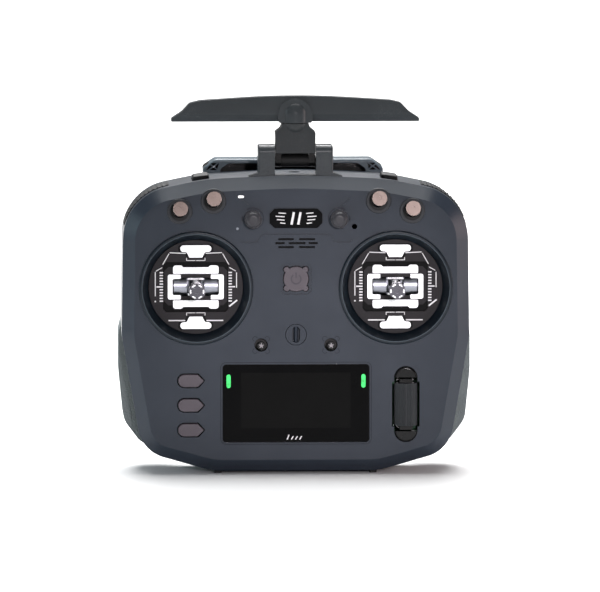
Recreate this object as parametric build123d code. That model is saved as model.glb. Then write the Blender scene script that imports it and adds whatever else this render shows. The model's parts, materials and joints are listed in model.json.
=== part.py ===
"""Hand-held radio transmitter controller: shells, gimbals, switches, screen, handle and antenna.

Millimetres. X to the right, the face looks along -Y, Z up. The origin is on the plane the feet
stand on, under the middle of the case. The two shells meet at Y = 0.
"""
import os
from math import cos, degrees, radians, sin

from build123d import *

# --- driving dimensions: case ---
HALF_WIDTH = 83.3        # widest half-width of the front shell
SHOULDER_Z = 133.5       # height of the upper corners
TOP_Z = 143.6            # crown of the top edge
FOOT_HEIGHT = 1.3
FACE_Y = -21.0           # front face plane
BACK_Y = 24.0            # back plane of the rear shell
GRIP_Y = 39.0            # rearmost reach of the grips
GRIP_START = 3.0         # front end of the grips, beside the case
GRIP_ROUND = 8.0         # rounding of the grips' rear edge
WALL = 2.4
FACE_WALL = 2.6
BEVEL_IN = 5.8           # bevel round the face, measured in the face
BEVEL_DEEP = 6.0         # and measured back from it
FIT = 0.3                # clearance round pieces that sit in an opening
RUN = 0.05               # radial running clearance of a pin in its hole

# --- driving dimensions: gimbals ---
GIMBAL_X = 47.8
GIMBAL_Z = 89.8
BEZEL_R = 27.4
BOWL_R = BEZEL_R - 4.8
PLATE_Y = -15.0          # front of the recessed plate
PLATE_THICK = 2.0
PIVOT_Y = -8.0           # both stick axes cross here
STICK_TIP_Y = -39.0
STICK_R = 1.5
CROWN_R = 3.9
CROWN_LEN = 11.0
TOOTH_HEIGHT = 0.9
DRUM_R = 6.0
TRUNNION_R = 2.0
GIMBAL_WINDOW = (21.8, 8.8)   # the opening the stick sweeps in
WINDOW_CUT = 1.5
CRADLE_OPENING = (15.7, 12.05)  # half sizes of the plate's eight-sided opening
METAL_THICK = 0.6        # bright pieces stand this far off what they are screwed to
CORE_DEPTH = 0.8         # the core's face lies this far behind the plate's

# --- driving dimensions: screen and lower controls ---
GLASS_W = 70.0
GLASS_H = 37.2
GLASS_Z = 34.3
GLASS_THICK = 1.2
DISPLAY_W = GLASS_W - 10.0
DISPLAY_H = GLASS_H - 6.2
LIGHT_X = GLASS_W / 2 - 2.7
MENU_X = -50.2
MENU_ZS = (21.6, 33.5, 45.3)
MENU_W = 13.5
MENU_H = 7.1
ROLLER_X = 52.6
ROLLER_Z = 33.7
ROLLER_R = 5.5
ROLLER_LEN = 20.4
ROLLER_GAP_W = 13.2

# --- driving dimensions: upper controls ---
TOGGLE_SPOTS = ((39.5, 131.5), (55.6, 126.7))
TOGGLE_TILT = 10.0
TOGGLE_LEN = 14.0
TOGGLE_R = 3.55
COLLAR_R = 6.1
NUT_R = 4.4
NUT_BORE = 2.9
KNOB_X = 20.6
KNOB_Z = 123.1
KNOB_R = 4.2
KNOB_LEN = 9.0
BADGE_W = 25.3
BADGE_H = 9.4
BADGE_Z = 123.2
POWER_Z = 94.1
TRIM_X = 16.7
TRIM_Z = 62.4
EYE_Z = 67.3
EYE_R = 4.9
SHOULDER_X = 45.2
SHOULDER_W = 7.8
SHOULDER_YS = (-9.6, 7.6)
SHOULDER_PROUD = 1.9
STRIP_YS = (-8.0, 11.0)
STRIP_RIBS = 12
STRIP_SKIN = 0.3
STRIP_PROUD = 0.65

# --- driving dimensions: antenna and handle ---
HINGE_Y = -6.5
HINGE_Z = 150.0
EAR_INNER = 9.9
EAR_OUTER = 18.0
EAR_TOP = 157.4
EAR_FRONT = -14.6
EAR_DEEP = 15.0
PIN_R = 1.5
KNUCKLE_R = 3.3
STEM_LOW = HINGE_Z + KNUCKLE_R + FIT
TINE_X = (6.7, 9.6)      # each stem tine's inner and outer face
SWIVEL_Z = 168.2         # parting plane between stem and blade
BLADE_SPAN = 118.8
BLADE_TOP = 181.6
HUB_R = 6.4
HANDLE_HALF = 43.4
HANDLE_TOP = 148.0
HANDLE_THICK = 1.9
HANDLE_WALL = 2.6
LATTICE_STRUT = 0.6
ARCH_HALF = 35.0
HANDLE_Y = (21.0, 38.0)  # front edge of its top plate, and its back
SCOOP_Y = 17.0           # front of the finger scoop in the case's back
SCOOP_HALF = 33.0
SCOOP_Z = (117.0, 141.0)
BACK_BEVEL = 3.0
FOOT_YS = ((-13.5, -3.0), (8.0, 20.0))
FOOT_X = 37.2
FOOT_W = 3.4
TRIM_PIVOT_Y = FACE_Y + 4.5
BATTERY_W = 72.0
BATTERY_Z = 36.0
CELL_R = 9.2
CELL_LEN = 66.0
DOOR_THICK = 2.0
DOOR_Z = (16.0, 56.0)
DOOR_PIN_R = 0.7
DOOR_GAP = 0.2           # behind the door, so its rounded edge turns freely
LATCH_HALF = 7.0
LATCH_TRAVEL = 2.6
MODULE_PROUD = 2.5
MODULE_SUNK = 1.2
TOP_HOLE_R = 2.8
TOP_HOLE_Y = 4.5
MODULE_Z = (70.0, 111.0)
MODULE_HALF = 30.0
USB_W = 9.0
USB_H = 3.2
PORT_Y = 9.0
JACK_X = -16.0
JACK_R = 1.8

SIDES = {"left": -1, "right": 1}
nodes = {}


# --- small helpers ---
def add(name, *solids):
    """Keep a node's solids under its name."""
    nodes[name] = [s for piece in solids for s in piece.solids()]


def at(x, y, z):
    """A sketch plane whose own x is X, whose own y is Z, and whose normal looks along -Y."""
    return Plane(origin=(x, y, z), x_dir=(1, 0, 0), z_dir=(0, -1, 0))


def slab(face, x, z, y_front, y_back):
    """A flat sketch in XZ, moved to x, z and made solid from y_front to y_back."""
    return extrude(at(x, y_back, z) * face, amount=y_back - y_front)


def disc(x, z, r, y_front, y_back):
    """A round bar along Y."""
    return slab(Circle(r), x, z, y_front, y_back)


def block(x, y, z):
    """A box from three (low, high) pairs."""
    lows, highs = zip(x, y, z)
    size = [b - a for a, b in zip(lows, highs)]
    middle = [(a + b) / 2 for a, b in zip(lows, highs)]
    return Pos(*middle) * Box(*size)


def bar_x(x0, x1, y, z, r):
    """A round bar along X."""
    return Pos((x0 + x1) / 2, y, z) * Rot(0, 90, 0) * Cylinder(r, x1 - x0)


def bar_z(x, y, z0, z1, r):
    """A round bar along Z."""
    return Pos(x, y, (z0 + z1) / 2) * Cylinder(r, z1 - z0)


def round_corners(points):
    """A closed outline through (x, z, radius) corners."""
    face = make_face(Polyline(*[(x, z) for x, z, _ in points], close=True))
    for x, z, r in points:
        if r:
            corner = min(face.vertices(), key=lambda v: abs(v.X - x) + abs(v.Y - z))
            face = fillet(corner, r)
    return face


def mirror_x(piece):
    return mirror(piece, about=Plane.YZ)


def front_edges(piece, y):
    """The edges that lie in the plane at y."""
    return piece.edges().filter_by_position(Axis.Y, y - 0.01, y + 0.01)


# --- case outline ---
def case_outline():
    """The front shell's outline: five corners a side."""
    half = [
        (40.0, FOOT_HEIGHT, 40),
        (73.6, 10.8, 17),
        (HALF_WIDTH, 66.5, 30),
        (HALF_WIDTH - 0.9, SHOULDER_Z, 26),
        (43.0, TOP_Z - 2.0, 120),
    ]
    return round_corners([(0, FOOT_HEIGHT, 0)] + half + [(0, TOP_Z, 300)] + [
        (-x, z, r) for x, z, r in reversed(half)
    ])


def shell_block(y_front, y_back, bevel_y, inset, bevel_in, bevel_deep):
    """The case outline as a solid, drawn in by inset, with one bevelled end."""
    outline = case_outline()
    if inset:
        outline = offset(outline, amount=-inset)
    body = slab(outline, 0, 0, y_front, y_back)
    rim = front_edges(body, bevel_y)
    face = body.faces().filter_by_position(Axis.Y, bevel_y - 0.01, bevel_y + 0.01)[0]
    return chamfer(rim, length=bevel_in, length2=bevel_deep, reference=face)


def grip_form(shrink=0.0):
    """The right-hand grip behind the case, drawn in by shrink all round."""
    profile = round_corners([
        (84.4, 66.0, 16),
        (84.4, 48.0, 30),
        (82.0, 24.0, 11),
        (73.0, 12.0, 9),
        (53.0, 12.0, 9),
        (54.0, 60.0, 14),
        (63.0, 84.0, 9.5),
        (80.0, 84.0, 8.5),
    ])
    if shrink:
        profile = offset(profile, amount=-shrink)
    body = slab(profile, 0, 0, GRIP_START, GRIP_Y - shrink)
    return fillet(front_edges(body, GRIP_Y - shrink), GRIP_ROUND - shrink)


def gimbal_cuts(y_front, y_back, r):
    return [disc(s * GIMBAL_X, GIMBAL_Z, r, y_front, y_back) for s in SIDES.values()]


def menu_outline(grow=0.0):
    """A menu button: round at its left end, pointed at its right."""
    h = MENU_H / 2 + grow
    w = MENU_W / 2 + grow
    return round_corners([
        (-w, -h, h * 0.98), (w - 3.2, -h, 1), (w, 0, 0.8), (w - 3.2, h, 1), (-w, h, h * 0.98)
    ])


def power_outline(grow=0.0):
    """A round button with four small lobes."""
    lobes = [Pos(x, z) * Circle(1.75 + grow) for x in (-4.5, 4.5) for z in (-4.5, 4.5)]
    shape = Circle(6.3 + grow)
    for lobe in lobes:
        shape += lobe
    return shape


def badge_outline(grow=0.0):
    """A plate with cut corners."""
    face = Rectangle(BADGE_W + 2 * grow, BADGE_H + 2 * grow)
    return chamfer(face.vertices(), 2.4)


def wing_recess():
    """The shallow sunk field round the badge, with a wing at each corner."""
    right = [
        (16.0, 115.4, 1), (18.5, 111.6, 1), (28.0, 111.6, 1), (22.0, 117.5, 1), (26.5, 123.0, 1),
        (22.0, 129.4, 1), (27.0, 133.0, 1), (18.0, 135.0, 1), (16.0, 131.4, 1),
    ]
    return round_corners(right + [(-x, z, r) for x, z, r in reversed(right)])


def toggle_place(x, z):
    """The frame of one toggle: its own z runs out of the face and tilts up."""
    a = radians(TOGGLE_TILT)
    return Location(Plane(origin=(x, FACE_Y, z), x_dir=(1, 0, 0), z_dir=(0, -cos(a), sin(a))))


def speaker_slots():
    """Three rows of dashes."""
    rows = {
        113.2: ((-8.6, -1.0), (1.4, 9.1)),
        111.3: ((-10.0, -5.4), (-3.6, 4.5), (6.0, 10.4)),
        109.4: ((-8.6, -1.0), (1.4, 9.1)),
    }
    cuts = []
    for z, dashes in rows.items():
        for x0, x1 in dashes:
            cuts.append(slab(SlotOverall(x1 - x0, 1.0), (x0 + x1) / 2, z, FACE_Y - 1, FACE_Y + 4))
    return cuts


def front_shell():
    """The face: bevelled, hollow, with an opening for each control."""
    body = shell_block(FACE_Y, 0, FACE_Y, 0, BEVEL_IN, BEVEL_DEEP)
    body -= shell_block(FACE_Y + FACE_WALL, 1, FACE_Y + FACE_WALL, WALL, BEVEL_IN, BEVEL_DEEP)
    cuts = gimbal_cuts(FACE_Y - 1, FACE_Y + 5, BEZEL_R - 1.0)
    cuts.append(slab(RectangleRounded(GLASS_W + 2 * FIT, GLASS_H + 2 * FIT, 1.8), 0, GLASS_Z,
                     FACE_Y - 1, FACE_Y + GLASS_THICK))
    cuts.append(slab(RectangleRounded(GLASS_W - 5, GLASS_H - 5, 1.5), 0, GLASS_Z, FACE_Y, FACE_Y + 5))
    for z in MENU_ZS:
        cuts.append(slab(menu_outline(), MENU_X, z, FACE_Y - 1, FACE_Y + 5))
    cuts.append(slab(SlotOverall(36.6, 11.2, 90), ROLLER_X, ROLLER_Z, FACE_Y - 1, FACE_Y + 5))
    cuts.append(slab(Rectangle(ROLLER_GAP_W, ROLLER_LEN + 1.2), ROLLER_X, ROLLER_Z, FACE_Y - 1, FACE_Y + 5))
    cuts.append(slab(power_outline(1.4), 0, POWER_Z, FACE_Y - 1, FACE_Y + 0.6))
    cuts.append(slab(power_outline(), 0, POWER_Z, FACE_Y - 1, FACE_Y + 5))
    cuts.append(disc(0, EYE_Z, EYE_R + 0.25, FACE_Y - 1, FACE_Y + 5))
    for s in SIDES.values():
        cuts.append(disc(s * TRIM_X, TRIM_Z, 3.2, FACE_Y - 1, FACE_Y + 5))
        cuts.append(disc(s * KNOB_X, KNOB_Z, 3.0 + RUN, FACE_Y - 1, FACE_Y + 5))
        for x, z in TOGGLE_SPOTS:
            cuts.append(disc(s * x, z, COLLAR_R - 1.0, FACE_Y - 1, FACE_Y + 5))
        cuts.append(block((s * SHOULDER_X - SHOULDER_W / 2 - FIT, s * SHOULDER_X + SHOULDER_W / 2 + FIT),
                          (-10.0, 0.1), (SHOULDER_Z + 2, TOP_Z)))
    cuts.append(slab(wing_recess(), 0, 0, FACE_Y - 1, FACE_Y + 0.5))
    cuts.append(slab(badge_outline(), 0, BADGE_Z, FACE_Y - 1, FACE_Y + 1.0))
    cuts += speaker_slots()
    cuts.append(slab(SlotOverall(3.0, 1.4), -26.3, 133.6, FACE_Y - 1, FACE_Y + 4))
    cuts.append(disc(-28.0, 118.3, 0.7, FACE_Y - 1, FACE_Y + 4))
    cuts.append(disc(28.0, 119.2, 1.3, FACE_Y - 1, FACE_Y + 4))
    for cut in cuts + feet():
        body -= cut
    for s in SIDES.values():
        boss = disc(s * TRIM_X, TRIM_Z, 5.0, FACE_Y + FACE_WALL, FACE_Y + 7.0)
        boss -= disc(s * TRIM_X, TRIM_Z, 3.3, FACE_Y, FACE_Y + 8)
        boss -= bar_x(s * TRIM_X - 4.5, s * TRIM_X + 4.5, TRIM_PIVOT_Y, TRIM_Z, 0.6 + RUN)
        body += boss
    return body


def feet():
    """Four bars under the case."""
    return [
        block((s * FOOT_X - FOOT_W / 2, s * FOOT_X + FOOT_W / 2), ys, (0, FOOT_HEIGHT + 1.0))
        for s in SIDES.values() for ys in FOOT_YS
    ]


def finger_scoop(grow=0.0):
    """The hollow in the case's back behind the handle, where fingers go."""
    return block((-SCOOP_HALF - grow, SCOOP_HALF + grow), (SCOOP_Y - grow, BACK_Y + 10),
                 (SCOOP_Z[0] - grow, SCOOP_Z[1] + grow))


def rear_shell():
    """The back: hollow, with a finger recess, a module bay and a battery door opening."""
    body = shell_block(0, BACK_Y, BACK_Y, 0, BACK_BEVEL, BACK_BEVEL)
    inner = shell_block(-1, BACK_Y - WALL, BACK_Y - WALL, WALL, BACK_BEVEL, BACK_BEVEL)
    body -= inner - finger_scoop(WALL)
    body -= finger_scoop()
    for pad in (grip_pad(), mirror_x(grip_pad())):
        body -= pad
    low, high = DOOR_Z
    body -= block((-BATTERY_W / 2 - FIT, BATTERY_W / 2 + FIT), (BACK_Y - DOOR_THICK - DOOR_GAP, BACK_Y + 1),
                  (low - FIT, high + FIT))
    body -= block((-BATTERY_W / 2 + 3, BATTERY_W / 2 - 3), (BACK_Y - 6, BACK_Y + 1), (low + 3, high - 3))
    body -= door_pins(RUN)
    body -= block((-MODULE_HALF, MODULE_HALF), (BACK_Y - MODULE_SUNK, BACK_Y + 1), MODULE_Z)
    body -= bar_z(0, TOP_HOLE_Y, TOP_Z - 1.8, TOP_Z + 1, TOP_HOLE_R)
    for s in SIDES.values():
        body -= block((s * SHOULDER_X - SHOULDER_W / 2 - FIT, s * SHOULDER_X + SHOULDER_W / 2 + FIT),
                      (-0.1, 8.0), (SHOULDER_Z + 2, TOP_Z))
    for cut in feet():
        body -= cut
    body -= block((-USB_W / 2 - 0.6, USB_W / 2 + 0.6), (PORT_Y - USB_H / 2 - 0.6, PORT_Y + USB_H / 2 + 0.6),
                  (-1, 4.5))
    body -= bar_z(JACK_X, PORT_Y, -1, 4.5, JACK_R + 1.4)
    for x, z in SCREW_SPOTS:
        body -= disc(x, z, 2.9, BACK_Y - 1.6, BACK_Y + 1)
    return body


SCREW_SPOTS = [(s * x, z) for s in (-1, 1) for x, z in ((48, 122), (68, 104), (42, 66), (44, 10.5))]


def grip_shell():
    """The right-hand grip: a hollow cup standing on the case's back, without its rubber skin."""
    cup = grip_form() - (grip_form(WALL) & block((0, 90), (GRIP_START + WALL, GRIP_Y), (0, 100)))
    return cup - shell_block(0, BACK_Y, BACK_Y, 0, BACK_BEVEL, BACK_BEVEL) - grip_pad()


def door_pins(grow=0.0):
    """The two stub pins that the battery door turns on."""
    reach = BATTERY_W / 2 + 1.6 + grow
    y = BACK_Y - DOOR_THICK / 2
    z = DOOR_Z[0] + DOOR_THICK / 2
    return bar_x(-reach, reach, y, z, DOOR_PIN_R + grow)


def battery_door():
    """The door, rounded where it turns, and the sliding latch in its upper edge."""
    half = BATTERY_W / 2
    door = block((-half, half), (BACK_Y - DOOR_THICK, BACK_Y), DOOR_Z)
    door = fillet(door.edges().filter_by(Axis.X).sort_by(Axis.Z)[:2], DOOR_THICK / 2 - 0.01)
    door += door_pins()
    top = DOOR_Z[1] - 3.0
    door -= block((-LATCH_HALF, LATCH_HALF), (BACK_Y - 3, BACK_Y + 1), (top - 4.0 - LATCH_TRAVEL, top))
    latch = block((-LATCH_HALF + RUN, LATCH_HALF - RUN), (BACK_Y - DOOR_THICK, BACK_Y + 0.2),
                  (top - 4.0, top - RUN))
    for i in range(3):
        z = top - 3.2 + i * 1.2
        latch += block((-LATCH_HALF + 1, LATCH_HALF - 1), (BACK_Y, BACK_Y + 0.7), (z - 0.3, z + 0.3))
    return door, latch


def module_cover():
    """The raised cover over the module bay, with a sunk panel and two finger notches."""
    y1 = BACK_Y + MODULE_PROUD
    cover = block((-MODULE_HALF, MODULE_HALF), (BACK_Y - MODULE_SUNK, y1), MODULE_Z)
    cover = chamfer(front_edges(cover, y1), 1.2)
    low, high = MODULE_Z
    cover -= block((-MODULE_HALF + 6, MODULE_HALF - 6), (y1 - 0.6, y1 + 1), (low + 6, high - 9))
    for i in range(7):
        z = low + 9.5 + i * 3.0
        cover += block((-MODULE_HALF + 9, MODULE_HALF - 9), (y1 - 0.7, y1), (z - 0.5, z + 0.5))
    for s in SIDES.values():
        cover -= disc(s * 12.0, high - 4.5, 2.2, y1 - 1.0, y1 + 1)
    return cover


def grip_pad():
    """The rubber skin on the outer and rear side of the right-hand grip."""
    skin = grip_form() - grip_form(1.0)
    zone = slab(round_corners([
        (95, 66, 0), (72, 76, 6), (61, 66, 6), (61, 30, 8), (72, 20, 6), (95, 20, 0)
    ]), 0, 0, 12.0, 60)
    return skin & zone


# --- gimbals ---
def window(w, h, corner):
    return chamfer(Rectangle(2 * w, 2 * h).vertices(), corner)


def gimbal(s):
    """One gimbal's fixed pieces: bezel, plate, core and bright metal."""
    x, z = s * GIMBAL_X, GIMBAL_Z
    lip = disc(x, z, BEZEL_R, FACE_Y - 1.2, FACE_Y)
    lip = fillet(front_edges(lip, FACE_Y - 1.2), 0.9)
    sleeve = disc(x, z, BEZEL_R - 1.0 - 0.05, FACE_Y, PLATE_Y + 1.0)
    bowl = at(x, PLATE_Y + 1.1, z) * Cone(
        BOWL_R, BEZEL_R - 1.6, PLATE_Y + 1.1 - (FACE_Y - 1.3), align=(Align.CENTER, Align.CENTER, Align.MIN)
    )
    bezel = lip + sleeve - bowl
    plate = disc(x, z, BOWL_R - 0.1, PLATE_Y, PLATE_Y + PLATE_THICK)
    plate += disc(x, z, BEZEL_R - 1.05, PLATE_Y + 1.0, PLATE_Y + PLATE_THICK)
    w, h = CRADLE_OPENING
    plate -= slab(window(w, h, WINDOW_CUT), x, z, PLATE_Y - 1, PLATE_Y + PLATE_THICK + 1)
    core = slab(window(w - 0.1, h - 0.1, WINDOW_CUT), x, z, PLATE_Y + CORE_DEPTH, PLATE_Y + PLATE_THICK)
    core += slab(Rectangle(44, 44), x, z, PLATE_Y + PLATE_THICK, PIVOT_Y + 9)
    core -= slab(Rectangle(*GIMBAL_WINDOW), x, z, PLATE_Y - 1, PLATE_Y + 3)
    core -= slab(Rectangle(28.0, 14.0), x, z, PLATE_Y + 1.8, PIVOT_Y + 10)
    core -= bar_x(x - 18, x + 18, PIVOT_Y, z, TRUNNION_R + RUN)
    return bezel, plate, core, gimbal_metal(x, z)


def tee_outline():
    """A spring plate above the window: a pill on a tapering stem."""
    half = [(3.1, 14.2, 0.4), (4.4, 16.9, 1.2), (7.4, 16.9, 1.5), (7.4, 20.1, 1.5)]
    return round_corners(half + [(-x, z, r) for x, z, r in reversed(half)])


def bar_outline():
    """A long clamp bar, drawn in along the middle of its outer edge."""
    half = [(10.9, 6.4, 0.5), (10.9, 10.4, 1.3), (6.9, 10.4, 1.0), (6.0, 9.5, 0.8)]
    return round_corners(half + [(-x, z, r) for x, z, r in reversed(half)])


def bracket_outline():
    """A C bracket at the end of the window, on the right."""
    return round_corners([
        (7.2, -6.0, 0.4), (13.4, -6.0, 1.0), (13.4, 6.0, 1.0), (7.2, 6.0, 0.4),
        (7.2, 3.9, 0.4), (11.1, 3.9, 0.9), (11.1, -3.9, 0.9), (7.2, -3.9, 0.4)
    ])


def gimbal_metal(x, z):
    """Bright bars, T plates and brackets that clamp the springs, with their screw heads."""
    core_y = PLATE_Y + CORE_DEPTH
    pieces = []
    for turn in (0, 180):
        spin = Rot(0, 0, turn)
        v = 1 if turn == 0 else -1
        tee = slab(spin * tee_outline(), x, z, PLATE_Y - METAL_THICK, PLATE_Y)
        bar = slab(spin * bar_outline(), x, z, core_y - METAL_THICK - 0.4, core_y)
        bracket = slab(spin * bracket_outline(), x, z, core_y - METAL_THICK, core_y)
        pieces += [tee, bar, bracket]
        for h in (-1, 1):
            pieces.append(screw_head(x + h * 8.7, z + v * 8.6, 1.3, core_y - METAL_THICK - 0.4))
            pieces.append(screw_head(x + h * 5.8, z + v * 18.5, 1.25, PLATE_Y - METAL_THICK))
    return pieces


def screw_head(x, z, r, y):
    """A pan head with a cross cut in it, standing on the plane at y."""
    head = disc(x, z, r, y - 0.45, y)
    cross = Rectangle(1.3 * r, 0.3) + Rectangle(0.3, 1.3 * r)
    return head - slab(cross, x, z, y - 1, y - 0.2)


def gimbal_cradle(s):
    """The drum that rocks about X, slotted for the stick."""
    x, z = s * GIMBAL_X, GIMBAL_Z
    drum = bar_x(x - 10.5, x + 10.5, PIVOT_Y, z, DRUM_R)
    drum += bar_x(x - 17.0, x + 17.0, PIVOT_Y, z, TRUNNION_R)
    drum -= block((x - 4.2, x + 4.2), (-30, PIVOT_Y + 4.2), (z - 3.2, z + 3.2))
    drum -= block((x - 4.2, x + 4.2), (PLATE_Y - 5, PIVOT_Y - 4.5), (z - 9, z + 9))
    drum -= bar_z(x, PIVOT_Y, z - 5.0, z + 5.0, TRUNNION_R)
    return drum


def stick(s):
    """The stick with its cross pin, and the knurled end screwed on it."""
    x, z = s * GIMBAL_X, GIMBAL_Z
    shaft = bar_z(x, PIVOT_Y, z - 4.9, z + 4.9, TRUNNION_R - RUN)
    shaft += bar_z(x, PIVOT_Y, z - 2.8, z + 2.8, 2.8)
    shaft += disc(x, z, STICK_R, STICK_TIP_Y + 2.0, PIVOT_Y)
    grip = Circle(CROWN_R)
    for i in range(12):
        grip -= Rot(0, 0, i * 30) * Pos(CROWN_R, 0) * Circle(0.4)
    end = slab(grip, x, z, STICK_TIP_Y + TOOTH_HEIGHT, STICK_TIP_Y + CROWN_LEN)
    tooth = make_face(Polyline((1.4, -0.95), (CROWN_R, -0.55), (CROWN_R, 0.55), (1.4, 0.95), close=True))
    teeth = Circle(1.7)
    for i in range(6):
        teeth += Rot(0, 0, 30 + i * 60) * tooth
    end += slab(teeth, x, z, STICK_TIP_Y, STICK_TIP_Y + TOOTH_HEIGHT)
    end -= disc(x, z, 1.0, STICK_TIP_Y - 1, STICK_TIP_Y + TOOTH_HEIGHT)
    end -= disc(x, z, STICK_R, STICK_TIP_Y + 2.0, STICK_TIP_Y + CROWN_LEN + 1)
    return shaft, end


# --- upper controls ---
def toggle(x, z):
    """A metal bat lever, flared at its end, on a ball in its bush."""
    place = toggle_place(x, z)
    upright = (Align.CENTER, Align.CENTER, Align.MIN)
    lever = place * Pos(0, 0, -1.0) * Cylinder(1.6, TOGGLE_LEN - 3.0, align=upright)
    flare = place * Pos(0, 0, TOGGLE_LEN - 8.0) * Cone(
        1.8, TOGGLE_R, 4.5, align=(Align.CENTER, Align.CENTER, Align.MIN))
    tip = place * Pos(0, 0, TOGGLE_LEN - 3.5) * Cylinder(
        TOGGLE_R, 3.5, align=(Align.CENTER, Align.CENTER, Align.MIN))
    dimple = place * Pos(0, 0, TOGGLE_LEN - 0.5) * Cylinder(
        1.0, 1.0, align=(Align.CENTER, Align.CENTER, Align.MIN))
    return lever + flare + tip + place * Sphere(NUT_BORE - RUN) - dimple


def toggle_bush(x, z):
    """The moulded collar and the threaded nut round one toggle."""
    collar = disc(x, z, COLLAR_R, FACE_Y - 0.8, FACE_Y)
    collar += disc(x, z, COLLAR_R - 1.05, FACE_Y, FACE_Y + 4.0)
    collar = fillet(front_edges(collar, FACE_Y - 0.8), 0.5)
    nut = disc(x, z, NUT_R, FACE_Y - 2.6, FACE_Y)
    hollow = disc(x, z, NUT_BORE, FACE_Y - 3, FACE_Y + 3.0)
    return collar + nut - hollow


def knob(s):
    """A domed, finely ribbed dial on its own shaft."""
    x = s * KNOB_X
    rim = Circle(KNOB_R)
    for i in range(24):
        rim -= Rot(0, 0, i * 15) * Pos(KNOB_R + 0.1, 0) * Circle(0.25)
    body = slab(rim, x, KNOB_Z, FACE_Y - KNOB_LEN + 2.2, FACE_Y - 0.5)
    dome = disc(x, KNOB_Z, KNOB_R - 0.3, FACE_Y - KNOB_LEN, FACE_Y - KNOB_LEN + 2.4)
    dome = fillet(front_edges(dome, FACE_Y - KNOB_LEN), 2.3)
    return body + dome + disc(x, KNOB_Z, 3.0, FACE_Y - 0.6, FACE_Y + 6)


def trim(s):
    """A small cross-rocking trim: a yoke that tips about X and a cap that tips in it about Z."""
    x = s * TRIM_X
    y = TRIM_PIVOT_Y
    yoke = disc(x, TRIM_Z, 2.9, y - 1.1, y + 1.1) - disc(x, TRIM_Z, 1.6, y - 2, y + 2)
    pins = bar_x(x - 4.4, x + 4.4, y, TRIM_Z, 0.6) - block((x - 2, x + 2), (y - 2, y + 2), (60, 65))
    yoke += pins
    yoke -= bar_z(x, y, TRIM_Z - 2.5, TRIM_Z + 2.5, 0.5 + RUN)
    cap = disc(x, TRIM_Z, 1.0, FACE_Y - 1.5, y + 0.8) + bar_z(x, y, TRIM_Z - 2.4, TRIM_Z + 2.4, 0.5)
    head = disc(x, TRIM_Z, 2.0, FACE_Y - 3.4, FACE_Y - 1.4)
    return yoke, cap + fillet(front_edges(head, FACE_Y - 3.4), 0.5)


def shoulder_button(s):
    """A press button whose top follows the case's edge and stands a little above it."""
    x0, x1 = s * SHOULDER_X - SHOULDER_W / 2, s * SHOULDER_X + SHOULDER_W / 2
    low = TOP_Z - 6.0
    body = block((x0, x1), SHOULDER_YS, (low, TOP_Z + 5))
    body &= slab(offset(case_outline(), amount=SHOULDER_PROUD), 0, 0, FACE_Y, BACK_Y)
    sides = [e for e in body.edges().filter_by(Axis.Z)]
    body = fillet(sides, 1.6)
    top = body.faces().sort_by(Axis.Z)[-1]
    return fillet(top.edges(), 0.9)


def shoulder_strip(s):
    """Fine ribs wrapped over one upper corner."""
    outline = case_outline()
    thin = offset(outline, amount=STRIP_SKIN) - outline
    tall = offset(outline, amount=STRIP_PROUD) - outline
    strip = slab(thin & (Pos(s * (HALF_WIDTH - 12.1), SHOULDER_Z - 2.5) * Rectangle(21.6, 24)), 0, 0, *STRIP_YS)
    centre_x, centre_z = HALF_WIDTH - 27.3, SHOULDER_Z - 25.5
    for i in range(STRIP_RIBS):
        turn = radians(80 - i * 4.4)
        place = Pos(s * (centre_x + 30 * cos(turn)), centre_z + 30 * sin(turn))
        rib = place * Rot(0, 0, s * degrees(turn)) * Rectangle(10, 0.5)
        strip += slab(tall & rib, 0, 0, *STRIP_YS)
    return strip


# --- lower controls ---
def roller():
    """The ribbed wheel, upright, and its axle."""
    rim = Circle(ROLLER_R)
    for i in range(30):
        rim -= Rot(0, 0, i * 12) * Pos(ROLLER_R + 0.15, 0) * Circle(0.4)
    wheel = Pos(ROLLER_X, FACE_Y + 1.5, ROLLER_Z - ROLLER_LEN / 2) * extrude(rim, amount=ROLLER_LEN)
    half = ROLLER_LEN / 2 + 2
    return wheel + bar_z(ROLLER_X, FACE_Y + 1.5, ROLLER_Z - half, ROLLER_Z + half, 1.5)


def roller_carriage():
    """The U that carries the roller and presses its switch."""
    y = FACE_Y + 1.5
    half = ROLLER_LEN / 2
    frame = block((ROLLER_X - 4, ROLLER_X + 4), (y + 6.2, y + 7.6), (ROLLER_Z - half - 2, ROLLER_Z + half + 2))
    for v in (-1, 1):
        z0, z1 = sorted((ROLLER_Z + v * (half + 0.3), ROLLER_Z + v * (half + 2.0)))
        frame += block((ROLLER_X - 3, ROLLER_X + 3), (y - 3, y + 6.3), (z0, z1))
    return frame - bar_z(ROLLER_X, y, ROLLER_Z - 20, ROLLER_Z + 20, 1.5 + RUN)


def roller_housing():
    """The glossy capsule that frames the roller."""
    body = slab(SlotOverall(36.0, 10.6, 90), ROLLER_X, ROLLER_Z, FACE_Y - 1.0, FACE_Y + 1.0)
    body = fillet(front_edges(body, FACE_Y - 1.0), 0.8)
    lower = slab(SlotOverall(36.0, 10.6, 90), ROLLER_X, ROLLER_Z, FACE_Y + 1.0, FACE_Y + 6.0)
    body += lower
    return body - block((ROLLER_X - 8, ROLLER_X + 8), (FACE_Y - 3, FACE_Y + 8),
                        (ROLLER_Z - ROLLER_LEN / 2 - 2.8, ROLLER_Z + ROLLER_LEN / 2 + 2.8))


def lanyard_eye():
    """A round plug with an upright slot, and a pin set back in it for the strap's clip."""
    plug = disc(0, EYE_Z, EYE_R, FACE_Y + 0.1, FACE_Y + 5.5)
    plug -= slab(SlotOverall(7.8, 3.7, 90), 0, EYE_Z, FACE_Y - 1, FACE_Y + 4.3)
    return plug + bar_z(0, FACE_Y + 2.2, EYE_Z - 3.8, EYE_Z + 3.8, 0.9)


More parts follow.
